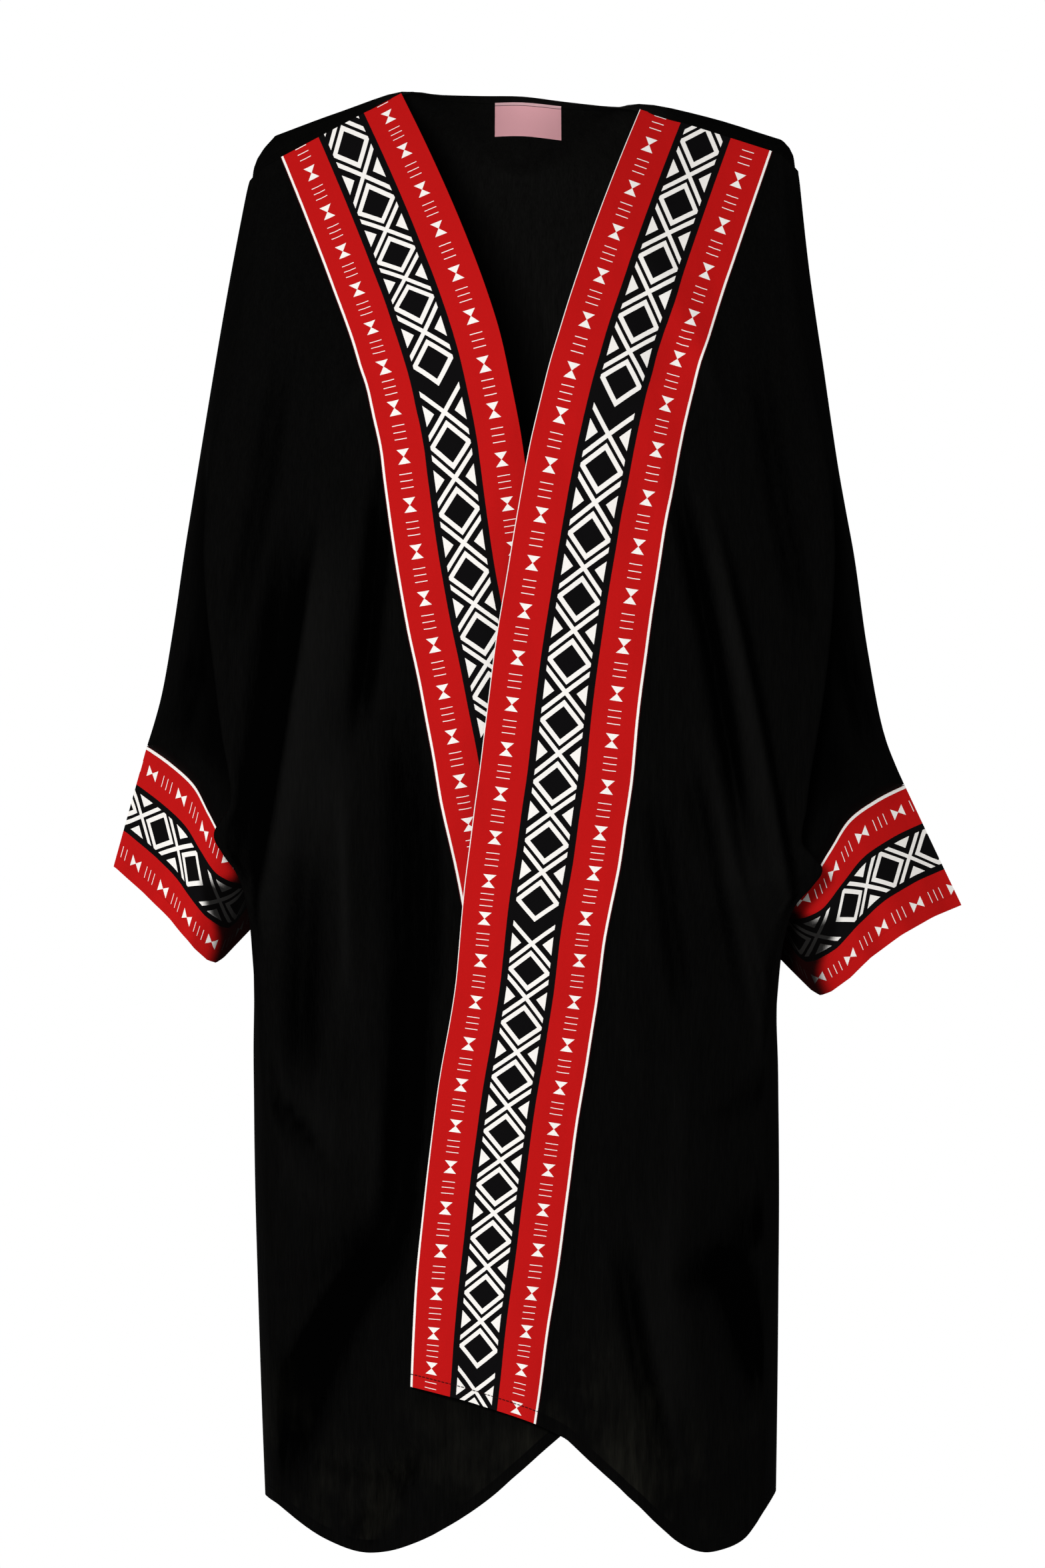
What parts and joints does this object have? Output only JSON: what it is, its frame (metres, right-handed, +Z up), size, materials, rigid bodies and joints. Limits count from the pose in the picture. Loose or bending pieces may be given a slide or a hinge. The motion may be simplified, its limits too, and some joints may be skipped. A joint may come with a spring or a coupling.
{
  "type": "kaftan",
  "caption": "Open-front black kaftan with cut-in sleeves, printed bands down the front edges and round the sleeve ends, filled out as worn.",
  "frame": {"origin": "midway between the shoulders, where the wearer's shoulders hold the garment up", "axes": "+Z up along the body, -Y to the front, +X to the wearer's left"},
  "size_m": [0.6752, 0.242, 1.1608],
  "materials": {
    "black_cloth": "soft crinkled viscose crepe, matt black",
    "printed_band": "printed red, black and white geometric border, matt",
    "label_satin": "blank pink satin label"
  },
  "bodies": {
    "root": {"back": "black_cloth", "front_left": "black_cloth", "front_right": "black_cloth", "band_left": "printed_band", "band_right": "printed_band", "cuff_left": "printed_band", "cuff_right": "printed_band", "label": "label_satin"}
  },
  "joints": []
}
